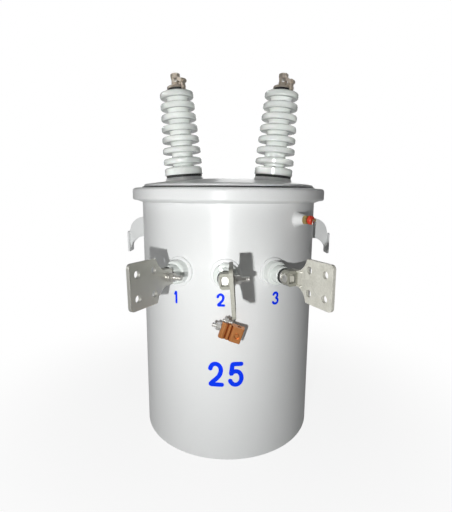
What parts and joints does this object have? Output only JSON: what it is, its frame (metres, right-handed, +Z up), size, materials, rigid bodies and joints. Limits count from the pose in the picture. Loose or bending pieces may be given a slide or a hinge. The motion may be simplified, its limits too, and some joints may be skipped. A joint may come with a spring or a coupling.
{
  "type": "single-phase distribution transformer",
  "caption": "Round pole-mounted transformer tank with a domed clamped lid, tall shedded bushings on top and flat spade terminals on its front wall.",
  "frame": {"origin": "centre of the tank's base ring, on the ground", "axes": "+Z up along the tank's axis; the low-voltage terminals face -Y, the pole brackets +Y; +X is to the right seen from the front"},
  "size_m": [0.52, 0.653, 0.8839],
  "materials": {
    "tank_paint": "smooth gloss light grey paint",
    "porcelain": "glazed pale grey porcelain",
    "black_rubber": "matt black gasket rubber",
    "tinned_plate": "dull tinned plate",
    "plated_steel": "zinc-plated steel fasteners",
    "tinned_bronze": "tinned bronze, slightly brown",
    "copper": "bright copper alloy",
    "brass": "bright brass",
    "red_cap": "moulded red plastic",
    "core_steel": "laminated steel with wrapped coils"
  },
  "bodies": {
    "root": {"band_bolt": "plated_steel", "clamp_band": "tank_paint", "core_and_coils": "core_steel", "ground_bolt": "plated_steel", "ground_boss": "plated_steel", "ground_clamp": "copper", "ground_screw": "copper", "hanger_bracket_lower": "tank_paint", "hanger_bracket_upper": "tank_paint", "hv_bushing_left": "porcelain", "hv_bushing_right": "porcelain", "hv_cap_left": "tinned_bronze", "hv_cap_right": "tinned_bronze", "hv_gasket_left": "black_rubber", "hv_gasket_right": "black_rubber", "hv_terminal_left": "tinned_bronze", "hv_terminal_right": "tinned_bronze", "lid": "tank_paint", "lid_gasket": "black_rubber", "lifting_lug_left": "tank_paint", "lifting_lug_right": "tank_paint", "lv_bolt_centre": "plated_steel", "lv_bolt_left": "plated_steel", "lv_bolt_right": "plated_steel", "lv_bushing_centre": "porcelain", "lv_bushing_left": "porcelain", "lv_bushing_right": "porcelain", "lv_jaw_centre": "tinned_plate", "lv_jaw_left": "tinned_plate", "lv_jaw_right": "tinned_plate", "lv_seal_centre": "black_rubber", "lv_seal_left": "black_rubber", "lv_seal_right": "black_rubber", "lv_spade_centre": "tinned_plate", "lv_spade_left": "tinned_plate", "lv_spade_right": "tinned_plate", "lv_stud_centre": "plated_steel", "lv_stud_left": "plated_steel", "lv_stud_right": "plated_steel", "relief_valve_body": "brass", "relief_valve_boss": "tank_paint", "relief_valve_cap": "red_cap", "relief_valve_ring": "plated_steel", "tank_bottom": "tank_paint", "tank_shell": "tank_paint"}
  },
  "joints": []
}
